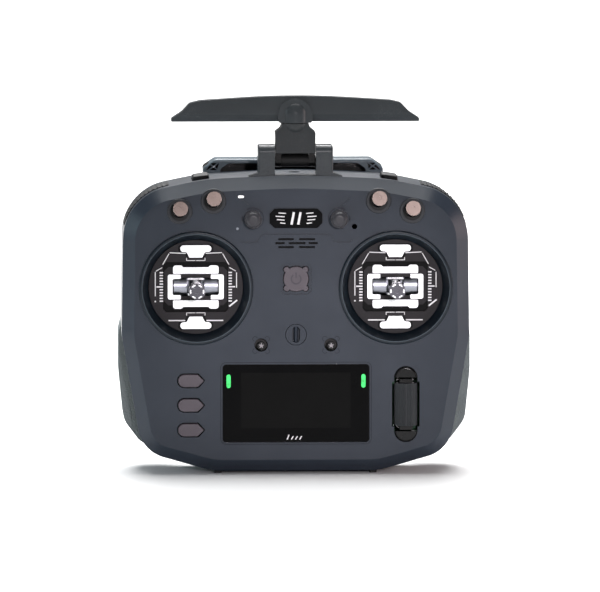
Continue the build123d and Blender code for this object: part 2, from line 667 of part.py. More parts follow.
# --- handle and antenna ---
def carry_handle():
    """A low arch behind the top edge, open to the front and below, with lattice ends."""
    y0, y1 = HANDLE_Y
    low = SCOOP_Z[0] + 13.0
    half = [(HANDLE_HALF, low, 2), (HANDLE_HALF, HANDLE_TOP - 4.1, 2)]
    half += [(HANDLE_HALF - 5.9, HANDLE_TOP, 4)]
    body = slab(round_corners(half + [(-x, z, r) for x, z, r in reversed(half)]), 0, 0, y0, y1)
    body = fillet(front_edges(body, y1), 1.8)
    body = fillet(front_edges(body, y0), 1.3)
    half = [(ARCH_HALF, low - 5, 0), (ARCH_HALF, HANDLE_TOP - 4.6, 2)]
    half += [(ARCH_HALF - 4.0, HANDLE_TOP - HANDLE_THICK, 3)]
    under = round_corners(half + [(-x, z, r) for x, z, r in reversed(half)])
    body -= slab(under, 0, 0, y0 - 1, y1 - HANDLE_WALL)
    body -= slab(case_outline(), 0, 0, y0 - 1, BACK_Y)
    for cut in (lattice_cut(), mirror_x(lattice_cut())):
        body -= cut
    return body


def lattice_cut():
    """The holes of the right-hand lattice: a slanted window crossed by two struts."""
    x, z = HANDLE_HALF - 4.6, HANDLE_TOP - 3.5
    corners = [(x - 3.2, z + 1.7), (x + 0.4, z + 1.7), (x + 3.2, z - 1.7), (x - 2.2, z - 1.7)]
    gap = make_face(Polyline(*corners, close=True))
    strut = Rectangle(11, LATTICE_STRUT)
    crossed = Rot(0, 0, 36) * strut + Rot(0, 0, -36) * strut
    return slab(gap - Pos(x - 0.4, z) * crossed, 0, 0, HANDLE_Y[0] - 1, HANDLE_Y[0] + 8)


def antenna_bracket():
    """Two ears, each on its own foot at the front of the top."""
    y0 = EAR_FRONT
    y1 = EAR_FRONT + EAR_DEEP
    pieces = []
    for s in (-1, 1):
        x0, x1 = sorted((s * EAR_INNER, s * EAR_OUTER))
        ear = block((x0, x1), (y0, y1), (TOP_Z - 2, EAR_TOP))
        ear = fillet(ear.edges().filter_by(Axis.X).sort_by(Axis.Z)[-2:], 3.0)
        side = ear.edges().filter_by(Axis.Y).sort_by(Axis.Z)[-2:].sort_by(Axis.X)[-1 if s > 0 else 0]
        ear = fillet(side, 1.0)
        wedge = make_face(Polyline((s * EAR_INNER, TOP_Z - 2), (s * 22.4, TOP_Z - 2), (s * 22.4, TOP_Z - 0.5),
                                   (s * EAR_OUTER, TOP_Z + 0.9), (s * EAR_INNER, TOP_Z + 0.9), close=True))
        ear += slab(wedge, 0, 0, y0, y0 + 5.0)
        ear -= slab(case_outline(), 0, 0, FACE_Y, BACK_Y)
        pieces.append(ear - bar_x(-16.5, 16.5, HINGE_Y, HINGE_Z, PIN_R))
    return pieces


def antenna_hinge_pin():
    """The pin across the ears, with a fat black knuckle in the middle."""
    return bar_x(-16.4, 16.4, HINGE_Y, HINGE_Z, PIN_R) + bar_x(-TINE_X[0] + 0.1, TINE_X[0] - 0.1,
                                                               HINGE_Y, HINGE_Z, KNUCKLE_R)


def antenna_stem():
    """The folding stem: two tines on the hinge pin, a waist, and the swivel post on top."""
    y = HINGE_Y - 1.0
    profile = round_corners([
        (-9.6, STEM_LOW, 0), (9.6, STEM_LOW, 0), (9.7, 163.6, 0.8), (7.2, 165.6, 2.0), (6.4, SWIVEL_Z - FIT, 0),
        (-6.4, SWIVEL_Z - FIT, 0), (-7.2, 165.6, 2.0), (-9.7, 163.6, 0.8)
    ])
    body = slab(profile, 0, 0, HINGE_Y - 5.5, HINGE_Y + 5.5)
    ball = Pos(0, y, SWIVEL_Z) * Sphere(HUB_R)
    body += ball & block((-12, 12), (y - 9, y + 6), (150, SWIVEL_Z - FIT))
    for s in (-1, 1):
        x0, x1 = sorted((s * TINE_X[0], s * TINE_X[1]))
        body += block((x0, x1), (HINGE_Y - KNUCKLE_R, HINGE_Y + KNUCKLE_R), (HINGE_Z, STEM_LOW + 0.2))
        body += bar_x(x0, x1, HINGE_Y, HINGE_Z, KNUCKLE_R)
    body -= bar_x(-12, 12, HINGE_Y, HINGE_Z, PIN_R + RUN)
    return body + bar_z(0, y, 166.0, 175.0, 2.5)


def antenna_blade():
    """The cross blade with its hub, tapered to both ends and creased along the front."""
    y = HINGE_Y - 1.0
    half = BLADE_SPAN / 2
    low = SWIVEL_Z + 0.4
    front_view = round_corners([
        (-half, low, 0.3), (half, low, 0.3), (half, low + 1.6, 0.6), (half - 4.9, low + 4.8, 3),
        (half - 8.9, low + 9.0, 3), (half - 14, low + 10.2, 6), (0, BLADE_TOP, 400), (-half + 14, low + 10.2, 6),
        (-half + 8.9, low + 9.0, 3), (-half + 4.9, low + 4.8, 3), (-half, low + 1.6, 0.6)
    ])
    section = make_face(Polyline(
        (y - 0.6, low), (y + 4.5, low), (y + 4.5, BLADE_TOP + 1), (y - 1.2, BLADE_TOP + 1),
        (y - 3.2, low + 4.6), (y - 3.2, low + 3.7), close=True
    ))
    across = extrude(Plane.YZ * section, amount=half, both=True)
    blade = slab(front_view, 0, 0, y - 10, y + 10) & across
    hub = bar_z(0, y, SWIVEL_Z, 172.6, HUB_R)
    hub += (Pos(0, y, 172.6) * Sphere(HUB_R)) & block((-9, 9), (y - 9, y + 4.5), (SWIVEL_Z, BLADE_TOP))
    collar = disc(0, 171.4, 8.3, y - 4.2, y + 4.5) & block((-9, 9), (y - 6, y + 5), (SWIVEL_Z, BLADE_TOP))
    return blade + hub + collar - bar_z(0, y, SWIVEL_Z - 1, 175.3, 2.5 + RUN)


# --- assembly ---
def build():
    """Make every node."""
    add("front_shell", front_shell())
    add("rear_shell", rear_shell())
    add("grip_right", grip_shell())
    add("grip_left", mirror_x(grip_shell()))
    add("grip_pad_right", grip_pad())
    add("grip_pad_left", mirror_x(grip_pad()))
    add("carry_handle", carry_handle())
    add("antenna_bracket", *antenna_bracket())
    add("antenna_hinge_pin", antenna_hinge_pin())
    add("antenna_stem", antenna_stem())
    add("antenna_blade", antenna_blade())
    cores = []
    for side, s in SIDES.items():
        bezel, plate, core, metal = gimbal(s)
        cores.append(core)
        add("gimbal_bezel_" + side, bezel)
        add("gimbal_plate_" + side, plate)
        add("gimbal_metal_" + side, *metal)
        add("gimbal_cradle_" + side, gimbal_cradle(s))
        shaft, end = stick(s)
        add("stick_shaft_" + side, shaft)
        add("stick_end_" + side, end)
        add("dial_knob_" + side, knob(s))
        yoke, cap = trim(s)
        add("trim_yoke_" + side, yoke)
        add("trim_cap_" + side, cap)
        add("shoulder_button_" + side, shoulder_button(s))
        for place, (x, z) in zip(("inner", "outer"), TOGGLE_SPOTS):
            add("toggle_" + place + "_" + side, toggle(s * x, z))
    add("gimbal_cores", *cores)
    add("switch_bushes", *[toggle_bush(s * x, z) for s in SIDES.values() for x, z in TOGGLE_SPOTS])
    add("badge_plate", slab(badge_outline(-0.05), 0, BADGE_Z, FACE_Y - 0.2, FACE_Y + 1.0))
    power = slab(power_outline(-FIT), 0, POWER_Z, FACE_Y - 0.6, FACE_Y + 4)
    add("power_button", fillet(front_edges(power, FACE_Y - 0.6), 0.4))
    for name, z in zip(("lower", "middle", "upper"), MENU_ZS):
        key = slab(menu_outline(-0.5), MENU_X, z, FACE_Y - 1.0, FACE_Y + 4)
        add("menu_button_" + name, fillet(front_edges(key, FACE_Y - 1.0), 0.5))
    add("roller", roller())
    add("roller_carriage", roller_carriage())
    add("roller_housing", roller_housing())
    add("lanyard_eye", lanyard_eye())
    glass = slab(RectangleRounded(GLASS_W, GLASS_H, 1.5), 0, GLASS_Z, FACE_Y, FACE_Y + GLASS_THICK)
    add("screen_glass", glass)
    add("display_module", slab(
        Rectangle(DISPLAY_W, DISPLAY_H), 0, GLASS_Z + 0.5, FACE_Y + GLASS_THICK, FACE_Y + 4.0))
    add("main_board", block((-60, 60), (-4.0, -2.4), (10, 62)) + block((-18, 18), (-6.0, -4.4), (60, 118)))
    add("battery_cells", *[bar_x(-CELL_LEN / 2, CELL_LEN / 2, BACK_Y - 11.4, z, CELL_R)
                           for z in (BATTERY_Z - CELL_R - 0.2, BATTERY_Z + CELL_R + 0.2)])
    add("speaker", disc(0, 111.3, 10, FACE_Y + FACE_WALL, FACE_Y + 9))
    door, latch = battery_door()
    add("battery_door", door)
    add("battery_latch", latch)
    add("module_cover", module_cover())
    add("feet", *feet())
    add("case_screws", *[disc(x, z, 2.85, BACK_Y - 1.6, BACK_Y - 0.4) for x, z in SCREW_SPOTS])
    add("shoulder_strips", shoulder_strip(-1), shoulder_strip(1))
    port = block((-USB_W / 2 - 0.55, USB_W / 2 + 0.55), (PORT_Y - USB_H / 2 - 0.55, PORT_Y + USB_H / 2 + 0.55),
                 (FOOT_HEIGHT + 0.2, 9.0))
    port -= block((-USB_W / 2, USB_W / 2), (PORT_Y - USB_H / 2, PORT_Y + USB_H / 2), (0, 8.0))
    add("usb_port", port + block((-3.3, 3.3), (PORT_Y - 0.35, PORT_Y + 0.35), (3.0, 8.5)))
    jack = bar_z(JACK_X, PORT_Y, FOOT_HEIGHT + 0.2, 14.0, JACK_R + 1.35)
    add("trainer_jack", jack - bar_z(JACK_X, PORT_Y, 0, 13.0, JACK_R))
    bars = [slab(SlotOverall(6.5, 2.0, 90), s * LIGHT_X, 45.0, FACE_Y - 0.15, FACE_Y) for s in (-1, 1)]
    add("light_bars", *bars)


build()
os.makedirs("parts", exist_ok=True)
for name, solids in nodes.items():
    shape = solids[0] if len(solids) == 1 else Compound(children=solids)
    export_step(shape, f"parts/{name}.step")
print(len(nodes), "nodes")
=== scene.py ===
# %% [markdown]
# # A hand-held radio transmitter
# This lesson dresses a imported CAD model: a slate-grey case with two gimbals, switches, a screen, a
# roller, rear grips, a carry handle and a folding T antenna. The CAD gives every shape and place, so
# each step here either gives a real finish to a CAD piece or adds the small printed and moulded
# details that are too fine for it. All lengths are metres, and `MM` turns millimetres into them.

# %% Load the frame and measure it
import json
from math import cos, radians, sin

import bmesh
import bpy
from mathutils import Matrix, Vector


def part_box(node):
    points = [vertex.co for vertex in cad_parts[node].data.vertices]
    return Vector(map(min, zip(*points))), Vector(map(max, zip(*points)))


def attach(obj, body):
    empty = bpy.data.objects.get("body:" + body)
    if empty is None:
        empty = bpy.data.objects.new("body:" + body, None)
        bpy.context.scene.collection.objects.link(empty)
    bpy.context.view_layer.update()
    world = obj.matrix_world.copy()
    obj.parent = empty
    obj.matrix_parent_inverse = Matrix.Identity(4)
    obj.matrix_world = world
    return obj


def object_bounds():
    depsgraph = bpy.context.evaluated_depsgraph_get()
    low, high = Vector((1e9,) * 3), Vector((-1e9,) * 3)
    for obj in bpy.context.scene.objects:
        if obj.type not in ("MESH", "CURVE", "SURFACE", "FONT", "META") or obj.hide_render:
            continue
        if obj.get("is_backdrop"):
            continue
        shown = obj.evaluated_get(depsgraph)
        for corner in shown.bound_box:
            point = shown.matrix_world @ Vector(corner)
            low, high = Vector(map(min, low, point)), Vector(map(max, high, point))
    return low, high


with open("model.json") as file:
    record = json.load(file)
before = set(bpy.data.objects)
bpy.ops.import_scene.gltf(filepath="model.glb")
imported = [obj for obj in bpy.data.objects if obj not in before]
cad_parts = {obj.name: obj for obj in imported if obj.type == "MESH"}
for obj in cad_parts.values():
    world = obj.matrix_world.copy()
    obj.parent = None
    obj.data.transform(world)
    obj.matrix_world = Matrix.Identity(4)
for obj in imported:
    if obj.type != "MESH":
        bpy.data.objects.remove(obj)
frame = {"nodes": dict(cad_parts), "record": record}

MM = 0.001
cad_box = [list(corner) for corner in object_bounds()]
nodes = frame["nodes"]
print("case box in mm:", [[round(v / MM, 1) for v in corner] for corner in cad_box])

# %% [markdown]
# ## Shader maths that reads like arithmetic
# A material is a graph of nodes, and most of the nodes are sums and products. Wiring them by hand
# hides the idea, so one small class wraps a socket and turns `+`, `-`, `*` and `/` into Math nodes.
# Every other node comes from one method, `node`, which takes the node's type, its settings and its
# inputs. Values that are the same everywhere are set straight on the shader's own sockets.


# %% A socket you can calculate with
class Wire:
    """One output socket inside a finish."""

    def __init__(self, finish, socket):
        self.finish = finish
        self.socket = socket

    def maths(self, operation, *others):
        return self.finish.node("ShaderNodeMath", {"operation": operation}, *others)

    def __add__(self, other):
        return self.maths("ADD", self, other)

    def __radd__(self, other):
        return self.maths("ADD", other, self)

    def __sub__(self, other):
        return self.maths("SUBTRACT", self, other)

    def __rsub__(self, other):
        return self.maths("SUBTRACT", other, self)

    def __mul__(self, other):
        return self.maths("MULTIPLY", self, other)

    def __rmul__(self, other):
        return self.maths("MULTIPLY", other, self)

    def __truediv__(self, other):
        return self.maths("DIVIDE", self, other)

    def step(self, low, high):
        """0 below low, 1 above high, smooth between."""
        ends = {"interpolation_type": "SMOOTHSTEP"}
        return self.finish.node("ShaderNodeMapRange", ends, self, low, high, 0.0, 1.0)


# %% A finish: one material and its nodes
class Finish:
    """A material with a Principled shader, whose fixed values are set on the shader itself."""

    def __init__(self, name, **fixed):
        self.material = bpy.data.materials.new(name)
        self.material.use_nodes = True
        self.tree = self.material.node_tree
        self.shader = self.tree.nodes["Principled BSDF"]
        for socket, value in fixed.items():
            self.shader.inputs[socket.replace("_", " ")].default_value = value

    def node(self, kind, settings=None, *inputs, out=0):
        made = self.tree.nodes.new(kind)
        for key, value in (settings or {}).items():
            setattr(made, key, value)
        for place, value in enumerate(inputs):
            self.plug(made.inputs[place], value)
        return Wire(self, made.outputs[out])

    def plug(self, socket, value):
        if isinstance(value, Wire):
            self.tree.links.new(value.socket, socket)
        elif value is not None:
            socket.default_value = value

    def feed(self, **sockets):
        for name, value in sockets.items():
            self.plug(self.shader.inputs[name.replace("_", " ")], value)
        return self

    def where(self):
        """The place on the object, in metres."""
        return self.node("ShaderNodeTexCoord", None, out=3)

    def axis(self, letter):
        """One coordinate of the place, in millimetres."""
        parts = self.tree.nodes.new("ShaderNodeSeparateXYZ")
        self.plug(parts.inputs[0], self.where())
        return Wire(self, parts.outputs[letter]) / MM

    def noise(self, size_mm, detail=2.0, where=None):
        """Smooth cloudy values from 0 to 1, with blobs about size_mm across."""
        made = self.tree.nodes.new("ShaderNodeTexNoise")
        self.plug(made.inputs["Vector"], where or self.where())
        made.inputs["Scale"].default_value = 1 / (size_mm * MM)
        made.inputs["Detail"].default_value = detail
        return Wire(self, made.outputs["Fac"])

    def blend(self, mask, first, second):
        """Two colours mixed by a mask."""
        made = self.tree.nodes.new("ShaderNodeMix")
        made.data_type = "RGBA"
        for place, value in ((0, mask), (6, first), (7, second)):
            self.plug(made.inputs[place], value)
        return Wire(self, made.outputs[2])

    def bump(self, height, depth_mm):
        """A Normal that makes height stand up by depth_mm."""
        made = self.tree.nodes.new("ShaderNodeBump")
        made.inputs["Strength"].default_value = 1.0
        made.inputs["Distance"].default_value = depth_mm * MM
        self.plug(made.inputs["Height"], height)
        return Wire(self, made.outputs["Normal"])


def rgb(r, g, b):
    """A screen colour, 0 to 255, as the linear colour a shader wants."""
    return (*[((v / 255 + 0.055) / 1.055) ** 2.4 if v > 10 else v / 255 / 12.92 for v in (r, g, b)], 1.0)


print("shader helpers ready")

# %% [markdown]
# ## Moulded plastic
# The case is injection moulded, and its tool was spark eroded, so the surface carries a very fine even
# grain that turns a gloss into a satin sheen. One function makes each moulded finish from a colour,
# a roughness and a grain: a fine noise lifts the surface by a few hundredths of a millimetre, and a
# broad, faint noise shifts colour and roughness as handling does.


# %% Moulded finishes
def moulded(name, colour, rough, grain_mm=0.35, depth_mm=0.012, handled=0.12, inner=None, **fixed):
    """A satin moulding with fine grain and slightly uneven sheen.

    inner is a colour and a function that marks where it shows instead: a second moulding on the toggle
    nuts, and painted shade in the handle's arch and under the antenna stem.
    """
    finish = Finish(name, **{"Specular_IOR_Level": 0.22, **fixed})
    grain = finish.noise(grain_mm, 3.0)
    cloud = finish.noise(26.0, 3.0)
    worn = [c * (1 + handled) + 0.002 for c in colour[:3]] + [1.0]
    shade = finish.blend(cloud.step(0.35, 0.75), colour, worn)
    if inner:
        shade = finish.blend(inner[1](finish), shade, inner[0])
    finish.feed(
        Base_Color=shade,
        Roughness=cloud * 0.10 + grain * 0.06 + (rough - 0.08),
        Normal=finish.bump(grain, depth_mm),
    )
    return finish.material


BLACK = rgb(8, 8, 9)
STEM_LOW = 153.6
NUT_FRONT = -22.0
ARCH_FRONT, ARCH_BACK, ARCH_TOP = 23.0, 35.5, 146.0
EDGE = 0.2


def arch_shade_mask(finish):
    """Painted shade inside the arch: black behind the front edge and under the top plate."""
    ahead = finish.axis("Y").step(ARCH_FRONT - 2 * EDGE, ARCH_FRONT)
    under = 1 - finish.axis("Z").step(ARCH_TOP - EDGE, ARCH_TOP)
    within = 1 - finish.axis("Y").step(ARCH_BACK, ARCH_BACK + EDGE)
    return ahead * under * within


def under_stem_shade_mask(finish):
    """Painted shade on the stem's tines: black below its body, where the block above shades them."""
    return 1 - finish.axis("Z").step(STEM_LOW - 0.05, STEM_LOW)


def nut_ring(finish):
    """The nuts stand proud of their collars."""
    return 1 - finish.axis("Y").step(NUT_FRONT - EDGE, NUT_FRONT)


finishes = {
    "shell_front": moulded("slate_face_moulding", rgb(40, 47, 57), 0.32),
    "shell_rear": moulded("slate_back_moulding", rgb(42, 48, 56), 0.32),
    # The handle is painted black inside its arch, a painted shade for the dark hollow under its top
    # plate.
    "handle_plastic": moulded("handle_moulding", rgb(88, 99, 107), 0.25, inner=(BLACK, arch_shade_mask)),
    "antenna_plastic": moulded("antenna_moulding", rgb(58, 62, 65), 0.26),
    # Near-black: a painted shade for the hinge barrel, which lies in the shadow of the stem's block.
    "knuckle_black": moulded("knuckle_moulding", rgb(14, 14, 15), 0.5),
    "bezel_black": moulded("bezel_moulding", rgb(20, 29, 37), 0.30, 0.3, 0.006),
    "plate_grey": moulded("gimbal_plate_moulding", rgb(34, 31, 34), 0.55),
    "core_black": moulded("gimbal_core_moulding", rgb(7, 7, 8), 0.6,
                          Specular_IOR_Level=0.12),
    "bush_black": moulded("bush_moulding", rgb(46, 48, 52), 0.4, inner=(BLACK, nut_ring)),
    "trim_black": moulded("trim_moulding", rgb(17, 17, 18), 0.4),
    "key_grey": moulded("key_moulding", rgb(82, 76, 82), 0.42, 0.4, 0.008),
    "shoulder_black": moulded("shoulder_key_moulding", rgb(13, 14, 16), 0.6),
    "knob_dark": moulded("dial_moulding", rgb(56, 56, 60), 0.3, 0.3, 0.005),
    "roller_grey": moulded("roller_moulding", rgb(38, 41, 44), 0.3, 0.3, 0.005),
    "roller_black": moulded("capsule_moulding", rgb(14, 14, 15), 0.16, 0.4, 0.003),
    "module_black": moulded("cover_moulding", rgb(40, 42, 46), 0.5, 0.5, 0.02),
    "speaker_black": moulded("speaker_cone", rgb(12, 12, 12), 0.6),
    "jack_black": moulded("socket_moulding", rgb(16, 16, 17), 0.4),
}
print(len(finishes), "moulded finishes")

# %% [markdown]
# ## Rubber
# The grips and feet are soft rubber. Its skin is duller than the case and has a coarser pattern that
# the thumb can feel: small raised cells, which a Voronoi texture gives at about a millimetre pitch.


# %% Rubber finishes
def rubber(name, colour, cell_mm, depth_mm):
    """Dull rubber with small raised cells."""
    finish = Finish(name, Specular_IOR_Level=0.35)
    cells = finish.tree.nodes.new("ShaderNodeTexVoronoi")
    cells.feature = "DISTANCE_TO_EDGE"
    cells.inputs["Scale"].default_value = 1 / (cell_mm * MM)
    finish.plug(cells.inputs["Vector"], finish.where())
    edge = Wire(finish, cells.outputs["Distance"])
    pad = edge.step(0.03, 0.22)
    dust = finish.noise(18.0, 4.0)
    pale = [c * 1.35 + 0.004 for c in colour[:3]] + [1.0]
    finish.feed(
        Base_Color=finish.blend(dust.step(0.4, 0.8) * 0.6, colour, pale),
        Roughness=0.85 - pad * 0.18,
        Normal=finish.bump(pad, depth_mm),
    )
    return finish.material


finishes["grip_rubber"] = rubber("grip_rubber_skin", rgb(112, 119, 120), 1.5, 0.16)
finishes["strip_black"] = rubber("strip_rubber", rgb(24, 26, 28), 0.8, 0.03)
finishes["foot_rubber"] = rubber("foot_rubber_skin", rgb(22, 22, 23), 0.9, 0.05)
print("rubber finishes ready")

# %% [markdown]
# ## Metal
# The spring bars are bright plated steel, the lever tips a warm satin alloy, and the rocking drums pale
# machined aluminium. Metals get their look from reflections, so their colour hardly varies, but
# machining leaves fine lines that stretch along one direction: a noise squashed along that axis.


# %% Metal finishes
def metal(name, colour, rough, line_axis=0, line_mm=0.12, depth_mm=0.004):
    """A machined or brushed metal with fine lines along one axis."""
    finish = Finish(name, Metallic=1.0)
    squash = [1.0, 1.0, 1.0]
    squash[line_axis] = 0.04
    mapped = finish.node("ShaderNodeVectorMath", {"operation": "MULTIPLY"}, finish.where(), squash)
    lines = finish.noise(line_mm, 2.0, mapped)
    soot = finish.noise(9.0, 3.0)
    dark = [c * 0.78 for c in colour[:3]] + [1.0]
    finish.feed(
        Base_Color=finish.blend(soot.step(0.45, 0.8) * 0.7, colour, dark),
        Roughness=lines * 0.14 + soot * 0.08 + (rough - 0.11),
        Normal=finish.bump(lines, depth_mm),
    )
    return finish.material


finishes["gimbal_steel"] = metal("bright_spring_steel", (0.92, 0.93, 0.95, 1), 0.24)
finishes["drum_pale"] = metal("pale_drum_alloy", (0.30, 0.31, 0.35, 1), 0.34, 2)
finishes["stick_steel"] = metal("stick_shaft_steel", (0.48, 0.48, 0.50, 1), 0.28, 1)
finishes["stick_dark"] = metal("dark_anodised_end", (0.075, 0.075, 0.085, 1), 0.30, 1)
finishes["lever_metal"] = metal("warm_lever_alloy", (0.12, 0.096, 0.085, 1), 0.34, 1)
finishes["screw_steel"] = metal("dark_screw_steel", (0.22, 0.22, 0.24, 1), 0.34)
finishes["port_steel"] = metal("pressed_port_steel", (0.62, 0.62, 0.64, 1), 0.3)
print("metal finishes ready")

# %% [markdown]
# ## Glossy black, glow and the inside
# The screen is a polished black window, the badge gloss black, and two green windows glow at its
# sides. Polished plastic still shows faint haze, so a broad noise moves its roughness a little. The
# inside pieces are seldom seen, but a circuit board and a wrapped cell have their own colours.


# %% Polished and glowing finishes
def polished(name, colour, rough, haze=0.05, **fixed):
    """A polished surface with faint wiping haze."""
    finish = Finish(name, **{"Specular_IOR_Level": 0.1, **fixed})
    cloud = finish.noise(14.0, 3.0)
    lifted = [c + 0.0015 for c in colour[:3]] + [1.0]
    finish.feed(
        Base_Color=finish.blend(cloud, colour, lifted),
        Roughness=cloud * haze + (rough - haze / 2),
    )
    return finish.material


def glowing(name, colour, power):
    """A lit window whose brightness varies in soft patches."""
    finish = Finish(name, Emission_Strength=power, Roughness=0.3)
    cloud = finish.noise(3.0, 1.0)
    deep = [c * 0.55 for c in colour[:3]] + [1.0]
    shade = finish.blend(cloud.step(0.3, 0.6), deep, colour)
    finish.feed(Base_Color=shade, Emission_Color=shade)
    return finish.material


finishes["screen_glass"] = polished("screen_window", rgb(4, 4, 5), 0.10, Specular_IOR_Level=0.05)
finishes["badge_black"] = polished("badge_plate_gloss", rgb(10, 10, 12), 0.14)
finishes["display"] = polished("display_panel", rgb(22, 21, 21), 0.25)
finishes["light_green"] = glowing("green_light_window", rgb(40, 205, 95), 0.9)
finishes["board_green"] = moulded("board_lacquer", rgb(18, 74, 44), 0.35, 1.2, 0.03)
finishes["cell_wrap"] = polished("cell_wrap", rgb(26, 28, 34), 0.25)
print("polished finishes ready")

# %% [markdown]
# ## Dress the CAD nodes
# The record says which material slot each CAD node takes, and every slot has a finish above, so one loop
# dresses the whole object. Three nodes are exceptions: the folding stem is painted black below its body,
# a painted shade for the dark gap between the ears, so it takes a two-colour finish, and the two grips
# carry the same skin as their pads.

# %% Dress every CAD node
slots = {row["node"]: row["material_slot"] for row in frame["record"]["subparts"]}
# The stem is painted black below its body, a painted shade for the dark gap under it.
stem_finish = moulded("stem_moulding", rgb(48, 51, 53), 0.26, inner=(BLACK, under_stem_shade_mask))
special = {
    "antenna_stem": stem_finish,
    "grip_left": finishes["grip_rubber"],
    "grip_right": finishes["grip_rubber"],
}
for name, thing in nodes.items():
    thing.data.materials.clear()
    thing.data.materials.append(special.get(name) or finishes[slots[name]])
print("dressed", len(nodes), "nodes in", len(set(slots.values())), "finishes")

# %% [markdown]
# ## Printed and inlaid details
# Some details are too thin for CAD: the white scale round each gimbal, the marks on the badge, the
# power sign, the lit area behind the glass. Each is a flat outline in the XZ plane given a little
# thickness, so one builder, `inlay`, makes them all from a list of outlines. Small helpers give the
# outlines: a stroke of a given width through points, a ring, and a rounded box.


# %% Outlines
def stroke(points, width):
    """A bar of the given width along each leg of a line, with square ends."""
    legs = []
    for (x0, z0), (x1, z1) in zip(points, points[1:]):
        run = Vector((x1 - x0, z1 - z0))
        side = Vector((-run.y, run.x)).normalized() * width / 2
        ahead = run.normalized() * width * 0.35
        a, b = Vector((x0, z0)) - ahead, Vector((x1, z1)) + ahead
        legs.append([tuple(v) for v in (a - side, b - side, b + side, a + side)])
    return legs


def arc(x, z, r, width, start=0.0, turn=360.0, count=32):
    """Quads along a circular band, from start through turn degrees."""
    ends = [radians(start + turn * i / count) for i in range(count + 1)]
    low, high = r - width / 2, r + width / 2
    return [
        [(x + high * cos(a), z + high * sin(a)), (x + high * cos(b), z + high * sin(b)),
         (x + low * cos(b), z + low * sin(b)), (x + low * cos(a), z + low * sin(a))]
        for a, b in zip(ends, ends[1:])
    ]


def rounded(x, z, w, h, r, count=6):
    """A box with round corners, centred at x, z."""
    points = []
    for quarter, (sx, sz) in enumerate(((1, 1), (-1, 1), (-1, -1), (1, -1))):
        for i in range(count + 1):
            a = radians(90 * quarter + 90 * i / count)
            points.append((x + sx * (w / 2 - r) + r * cos(a), z + sz * (h / 2 - r) + r * sin(a)))
    return points


def between(outer, inner):
    """The band between two outlines that have the same number of points."""
    n = len(outer)
    return [[outer[i], outer[(i + 1) % n], inner[(i + 1) % n], inner[i]] for i in range(n)]


def shift(outlines, x, z, flip=1):
    """Outlines moved to x, z."""
    return [[(x + px * flip, z + pz) for px, pz in outline] for outline in outlines]


# %% The inlay builder
def inlay(name, outlines, y_front, thick, body, material):
    """Flat outlines in XZ, in millimetres, made solid from y_front back by thick."""
    mesh = bpy.data.meshes.new(name)
    bm = bmesh.new()
    for outline in outlines:
        area = sum(a[0] * b[1] - b[0] * a[1] for a, b in zip(outline, outline[1:] + outline[:1]))
        ring = outline if area > 0 else outline[::-1]
        front = [bm.verts.new((x * MM, y_front * MM, z * MM)) for x, z in ring]
        back = [bm.verts.new((x * MM, (y_front + thick) * MM, z * MM)) for x, z in ring]
        bm.faces.new(front)
        bm.faces.new(back[::-1])
        for i in range(len(ring)):
            j = (i + 1) % len(ring)
            bm.faces.new((front[j], front[i], back[i], back[j]))
    bmesh.ops.remove_doubles(bm, verts=bm.verts, dist=1e-7)
    bmesh.ops.recalc_face_normals(bm, faces=bm.faces)
    bm.to_mesh(mesh)
    bm.free()
    thing = bpy.data.objects.new(name, mesh)
    bpy.context.scene.collection.objects.link(thing)
    mesh.materials.append(material)
    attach(thing, body)
    return thing


def middle(node):
    """The middle of a node's box and its lowest Y, in millimetres."""
    low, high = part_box(node)
    return (low[0] + high[0]) / 2 / MM, (low[2] + high[2]) / 2 / MM, low[1] / MM


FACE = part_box("front_shell")[0][1] / MM
white_ink = polished("white_ink", rgb(238, 236, 238), 0.5, Specular_IOR_Level=0.3)
faint_ink = polished("faint_ink", rgb(150, 146, 150), 0.5)
tee_shadow_ink = polished("tee_shadow_ink", rgb(10, 10, 12), 0.4)
# Painted groove shade: dark lines where shade falls in seams and recesses.
groove = polished("groove_shadow", rgb(26, 28, 34), 0.6)
print("face plane at", round(FACE, 2), "mm")

# %% [markdown]
# ## The gimbals' faces
# Round each window the plate carries eleven ticks a side, a long line, and a broken outline that steps
# round the spring plates. Black fields of painted shadow lie under and just round the bright T plates,
# where they sit in a shaded recess, and a dark inner plate fills the window's surround. On the drum, two
# bright bars frame the slot that the stick runs in.


# %% Scale prints
def gimbal_print():
    """The white lines of one gimbal, about its centre: fine lines, then bold ones."""
    fine, bold = [], []
    for i in range(11):
        z = 6.95 - i * 1.37
        far = 18.6 if i == 5 else 17.1
        fine += stroke([(-far, z), (-15.9, z)], 0.62) + stroke([(far, z), (15.9, z)], 0.62)
    fine += stroke([(-19.4, 7.2), (-19.4, -4.2)], 0.42) + stroke([(19.5, 6.8), (19.5, -0.3)], 0.42)
    fine += arc(-19.4, -6.9, 0.2, 0.4, count=10)
    for s in (-1, 1):
        fine += stroke([(s * 4.9, 16.2), (s * 12.4, 16.5)], 0.4)
        fine += stroke([(s * 12.9, 15.9), (s * 15.8, 10.9)], 0.36)
        fine += stroke([(s * 16.2, 9.3), (s * 19.0, 7.7)], 0.36)
        bold += stroke([(s * 5.3, -16.1), (s * 12.9, -16.1)], 0.6)
        for z in (12.75, -12.4):
            fine += stroke([(s * 0.3, z), (s * 4.1, z)], 0.3)
            fine += stroke([(s * 4.4, z), (s * 4.4, z + (1.2 if z > 0 else -1.2))], 0.3)
    bold += stroke([(16.2, -9.2), (19.6, -6.5)], 0.75)
    return fine, bold


